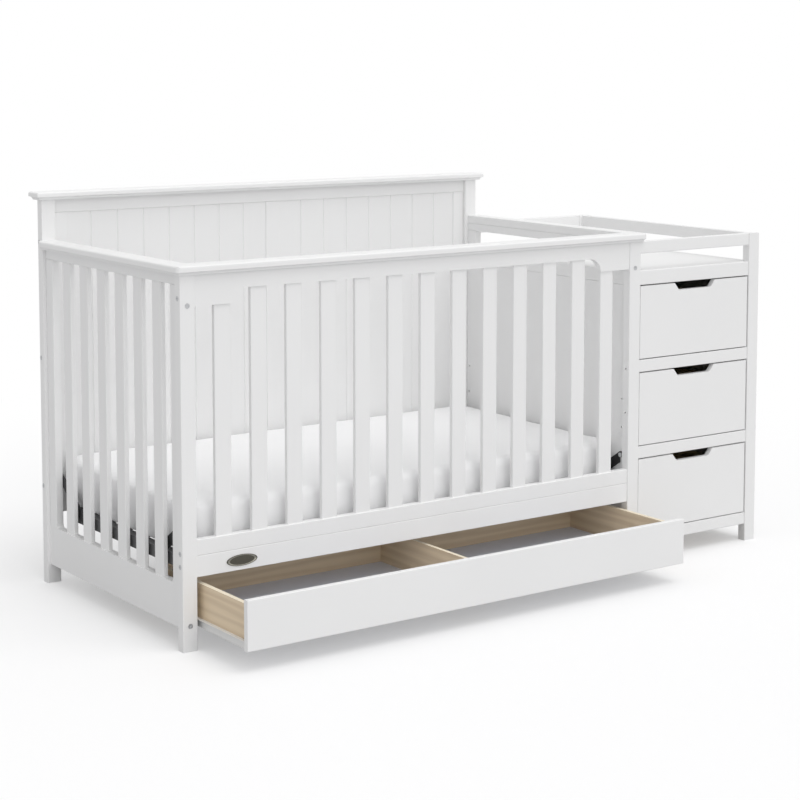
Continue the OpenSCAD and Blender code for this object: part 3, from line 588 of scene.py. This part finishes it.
class CRIB_OT_stage(Operator):
    """Set up the camera, the soft light and the pale floor"""

    bl_idname = "crib.stage"
    bl_label = "Stage"

    def execute(self, context):
        values = context.scene.crib_stage
        self.add_camera(context, values)
        self.light(context, values)
        self.add_floor(context, values)
        return {"FINISHED"}

    def add_camera(self, context, values):
        lens = bpy.data.cameras.new("camera")
        lens.lens = values.camera_lens
        lens.shift_y = values.camera_rise
        lens.clip_end = CAMERA_REACH
        camera = bpy.data.objects.new("camera", lens)
        camera.location = values.camera_place
        camera.rotation_euler = (math.pi / 2 - values.camera_dip, 0, -values.camera_turn)
        context.scene.collection.objects.link(camera)
        context.scene.camera = camera

    def light(self, context, values):
        context.scene.view_settings.view_transform = "Standard"
        for name, level, source in (
                ("overhead_lamp", values.overhead_level, values.overhead_from),
                ("front_lamp", values.front_level, values.front_from)):
            lamp = bpy.data.lights.new(name, "SUN")
            lamp.energy = level
            lamp.angle = values.lamp_size
            holder = bpy.data.objects.new(name, lamp)
            holder.rotation_euler = Vector(source).to_track_quat("Z", "Y").to_euler()
            context.scene.collection.objects.link(holder)
        world = bpy.data.worlds.new("studio")
        tree = Tree(world)
        seen = self.background_rays(tree)
        level = values.sky_level + (1.0 - values.sky_level) * seen
        sky = tree.add("ShaderNodeBackground", None, {"Color": (1, 1, 1, 1), "Strength": level})
        tree.add("ShaderNodeOutputWorld", None, {"Surface": sky})
        context.scene.world = world

    def background_rays(self, tree):
        """1 for a ray from the camera, off a glossy face or through glass."""
        direct = tree.add("ShaderNodeLightPath", out="Is Camera Ray")
        rays = direct.socket.node.outputs
        glossy = Value(tree, rays["Is Glossy Ray"])
        through = Value(tree, rays["Is Transmission Ray"])
        return direct.or_more(glossy.or_more(through))

    def add_floor(self, context, values):
        material = bpy.data.materials.new("floor_paper")
        tree = Tree(material)
        x, y, _ = tree.parts(tree.place())
        far = (x * x + y * y).root()
        fade = tree.add("ShaderNodeMapRange", {"interpolation_type": "SMOOTHSTEP"}, {
            "Value": far, "From Min": FADE_FROM, "From Max": FADE_TO, "To Min": LEAST_FADE,
            "To Max": 1.0})
        direct = tree.add("ShaderNodeLightPath", out="Is Camera Ray")
        colour = tree.mix(direct, opaque(values.floor_return), opaque(values.floor_colour))
        paper = tree.add("ShaderNodeBsdfDiffuse", None, {"Color": colour})
        glow = tree.add("ShaderNodeEmission", None, {"Color": (1, 1, 1, 1), "Strength": 1.0})
        both = tree.add("ShaderNodeMixShader", None, {0: direct * fade, 1: paper, 2: glow})
        tree.add("ShaderNodeOutputMaterial", None, {"Surface": both})
        form = bmesh.new()
        bmesh.ops.create_grid(form, x_segments=1, y_segments=1, size=values.floor_reach)
        floor = new_piece("floor", form, material, smooth=False)


class CRIB_OT_paint(Operator):
    """Give the white boards their satin paint"""

    bl_idname = "crib.paint"
    bl_label = "Painted boards"

    def execute(self, context):
        values = context.scene.crib_paint
        for along, names in enumerate((PAINTED_ALONG_X, PAINTED_ALONG_Y, PAINTED_ALONG_Z)):
            dress(names, painted(values, along))
        dress(BACK_BOARDS, faced_board("back_board", values.board_white, fleck=0.05))
        return {"FINISHED"}


class CRIB_OT_timber(Operator):
    """Give the drawers their bare wood and grey bottoms"""

    bl_idname = "crib.timber"
    bl_label = "Drawer wood"

    def execute(self, context):
        values = context.scene.crib_timber
        for name in BOXES:
            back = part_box(name)[1].y
            dress((name,), timber(f"wood_{name}", values, back - BOX_BACK))
        dress(STRIPS, timber("wood_strips", values, NOWHERE))
        dress(GREY_BOARDS, faced_board("grey_board", values.board, fleck=0.14))
        return {"FINISHED"}


class CRIB_OT_slides(Operator):
    """Give the drawer slides their enamel and their nylon rollers"""

    bl_idname = "crib.slides"
    bl_label = "Slides and rollers"

    def execute(self, context):
        values = context.scene.crib_metal
        dress(RAILS, enamelled(values))
        dress(ROLLERS, nylon(values))
        return {"FINISHED"}


class CRIB_OT_steel(Operator):
    """Give the mattress support and the bolts their coatings"""

    bl_idname = "crib.steel"
    bl_label = "Support and bolts"

    def execute(self, context):
        values = context.scene.crib_metal
        dress(SUPPORT_STEEL, powder_coated("charcoal_powder_coat", values.charcoal))
        dress(HANGERS, powder_coated("black_powder_coat", values.black))
        dress(ZINC, zinc_plated(values))
        return {"FINISHED"}


class CRIB_OT_plate(Operator):
    """Model the bare oval plate on the apron, with a raised rim and a crowned field"""

    bl_idname = "crib.plate"
    bl_label = "Oval plate"

    def execute(self, context):
        values = context.scene.crib_metal
        low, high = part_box("oval_plate")
        middle = (low + high) / 2
        half = (high - low) / 2
        form = bmesh.new()
        bmesh.ops.create_circle(form, cap_ends=True, segments=PLATE_POINTS, radius=1.0)
        bmesh.ops.scale(form, vec=(half.x, half.z, 1), verts=form.verts)
        raised = bmesh.ops.extrude_face_region(form, geom=form.faces[:])["geom"]
        top = next(item for item in raised if isinstance(item, bmesh.types.BMFace))
        bmesh.ops.translate(form, vec=(0, 0, 2 * half.y), verts=top.verts)
        bmesh.ops.bevel(
            form, geom=top.edges[:], offset=PLATE_EASE, segments=PLATE_EASE_STEPS, profile=0.5,
            affect="EDGES", material=-1)
        field = max(form.faces, key=lambda face: face.calc_center_median().z + face.calc_area())
        bmesh.ops.inset_region(form, faces=[field], thickness=values.rim_width)
        bmesh.ops.inset_region(form, faces=[field], thickness=RIM_SLOPE, depth=-values.rim_depth)
        for share, lift in FIELD_CROWN:
            bmesh.ops.inset_region(form, faces=[field], thickness=FIELD_STEP)
            bmesh.ops.scale(form, vec=(share, share, 1), verts=field.verts)
            bmesh.ops.translate(form, vec=(0, 0, lift), verts=field.verts)
        bmesh.ops.recalc_face_normals(form, faces=form.faces)
        stand = Matrix.Translation((middle.x, high.y, middle.z)) @ Matrix.Rotation(
            math.pi / 2, 4, "X")
        bmesh.ops.transform(form, matrix=stand, verts=form.verts)
        plate = new_piece("bare_oval_plate", form, bronzed(values, middle, half.x, half.z))
        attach(plate, "frame")
        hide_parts("oval_plate")
        return {"FINISHED"}


class CRIB_OT_mattress(Operator):
    """Inflate the mattress from its plain solid and cover it in cotton"""

    bl_idname = "crib.mattress"
    bl_label = "Mattress"

    def execute(self, context):
        values = context.scene.crib_mattress
        low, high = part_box("mattress")
        middle = (low + high) / 2
        half = (high - low) / 2
        cover = cotton(values, middle, half.x, half.y)
        pad = self.start_form(values, middle, half, cover)
        self.apply(context, pad)
        self.inflate(context, values, pad)
        self.slacken(values, pad, middle, half)
        self.settle(values, pad, low, high)
        smooth = pad.modifiers.new("smooth", "SUBSURF")
        smooth.levels = 1
        smooth.render_levels = 1
        self.apply(context, pad)
        for face in pad.data.polygons:
            face.use_smooth = True
        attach(pad, "mattress")
        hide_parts("mattress")
        return {"FINISHED"}

    def start_form(self, values, middle, half, cover):
        """A copy of the plain solid, a little smaller, in even voxels."""
        form = bmesh.new()
        form.from_mesh(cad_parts["mattress"].data)
        bmesh.ops.remove_doubles(form, verts=form.verts, dist=WELD)
        insets = (values.inset, values.inset, values.inset * INSET_IN_HEIGHT)
        shrink = [1 - inset / side for inset, side in zip(insets, half)]
        bmesh.ops.translate(form, vec=-middle, verts=form.verts)
        bmesh.ops.scale(form, vec=shrink, verts=form.verts)
        bmesh.ops.translate(form, vec=middle, verts=form.verts)
        pad = new_piece("mattress_pad", form, cover)
        remesh = pad.modifiers.new("voxels", "REMESH")
        remesh.mode = "VOXEL"
        remesh.voxel_size = values.voxel
        return pad

    def apply(self, context, pad):
        """Replaces the mesh by what its modifiers make of it."""
        graph = context.evaluated_depsgraph_get()
        shaped = bpy.data.meshes.new_from_object(pad.evaluated_get(graph))
        pad.modifiers.clear()
        pad.data = shaped

    def inflate(self, context, values, pad):
        """Blows the cover up and caps how far each point moves."""
        cloth = pad.modifiers.new("cover", "CLOTH")
        for name, value in COVER_CLOTH.items():
            setattr(cloth.settings, name, value)
        cloth.settings.uniform_pressure_force = values.pressure
        cloth.settings.effector_weights.gravity = 0
        cloth.point_cache.frame_start = 1
        cloth.point_cache.frame_end = values.steps
        start = [point.co.copy() for point in pad.data.vertices]
        for step in range(1, values.steps + 1):
            context.scene.frame_set(step)
        self.apply(context, pad)
        context.scene.frame_set(1)
        for before, point in zip(start, pad.data.vertices):
            move = point.co - before
            if move.length > values.swell:
                point.co = before + move.normalized() * values.swell

    def slacken(self, values, pad, middle, half):
        """Lets the cover lie in low ripples that run in from the corners."""
        for point in pad.data.vertices:
            out = Vector(((point.co.x - middle.x) / half.x, (point.co.y - middle.y) / half.y))
            corner = min(abs(out.x), abs(out.y)) ** 3
            wave = noise.noise(point.co * Vector(RIPPLES_PER_METRE))
            point.co += point.normal * wave * values.ripple * (RIPPLE_EVERYWHERE + corner)

    def settle(self, values, pad, low, high):
        """Fits the pad between its solid's faces and sets its sole flat on the support."""
        first = low + Vector((values.slip, values.slip, 0))
        last = high + Vector((-values.slip, -values.slip, values.crown))
        points = [point.co for point in pad.data.vertices]
        for axis in range(3):
            start = min(place[axis] for place in points)
            scale = (last[axis] - first[axis]) / (max(place[axis] for place in points) - start)
            for place in points:
                place[axis] = first[axis] + (place[axis] - start) * scale
        kept = values.sole * values.sole_keep
        height = last.z - first.z
        for place in points:
            rise = place.z - first.z
            if rise < values.sole:
                rise *= values.sole_keep
            else:
                rise = kept + (rise - values.sole) * (height - kept) / (height - values.sole)
            place.z = first.z + rise


OPERATORS = (
    CRIB_OT_stage, CRIB_OT_paint, CRIB_OT_timber, CRIB_OT_slides, CRIB_OT_steel, CRIB_OT_plate,
    CRIB_OT_mattress,
)
VALUES = (
    ("crib_stage", StageValues), ("crib_paint", PaintValues), ("crib_timber", TimberValues),
    ("crib_metal", MetalValues), ("crib_mattress", MattressValues),
)


class CRIB_PT_panel(Panel):
    """The crib's operators and their sizes and colours"""

    bl_idname = "CRIB_PT_panel"
    bl_label = "Crib with Changer"
    bl_space_type = "VIEW_3D"
    bl_region_type = "UI"
    bl_category = "Crib"

    def draw(self, context):
        for operator in OPERATORS:
            self.layout.operator(operator.bl_idname)
        for name, group in VALUES:
            values = getattr(context.scene, name)
            box = self.layout.box()
            box.label(text=group.__doc__)
            for key in group.__annotations__:
                box.prop(values, key)


def register():
    for name, group in VALUES:
        bpy.utils.register_class(group)
        setattr(bpy.types.Scene, name, PointerProperty(type=group))
    for part in (*OPERATORS, CRIB_PT_panel):
        bpy.utils.register_class(part)


def unregister():
    for part in (CRIB_PT_panel, *reversed(OPERATORS)):
        bpy.utils.unregister_class(part)
    for name, group in reversed(VALUES):
        delattr(bpy.types.Scene, name)
        bpy.utils.unregister_class(group)


def main():
    register()
    bpy.ops.crib.stage()
    bpy.ops.crib.paint()
    bpy.ops.crib.timber()
    bpy.ops.crib.slides()
    bpy.ops.crib.steel()
    bpy.ops.crib.plate()
    bpy.ops.crib.mattress()


if __name__ == "__main__":
    main()
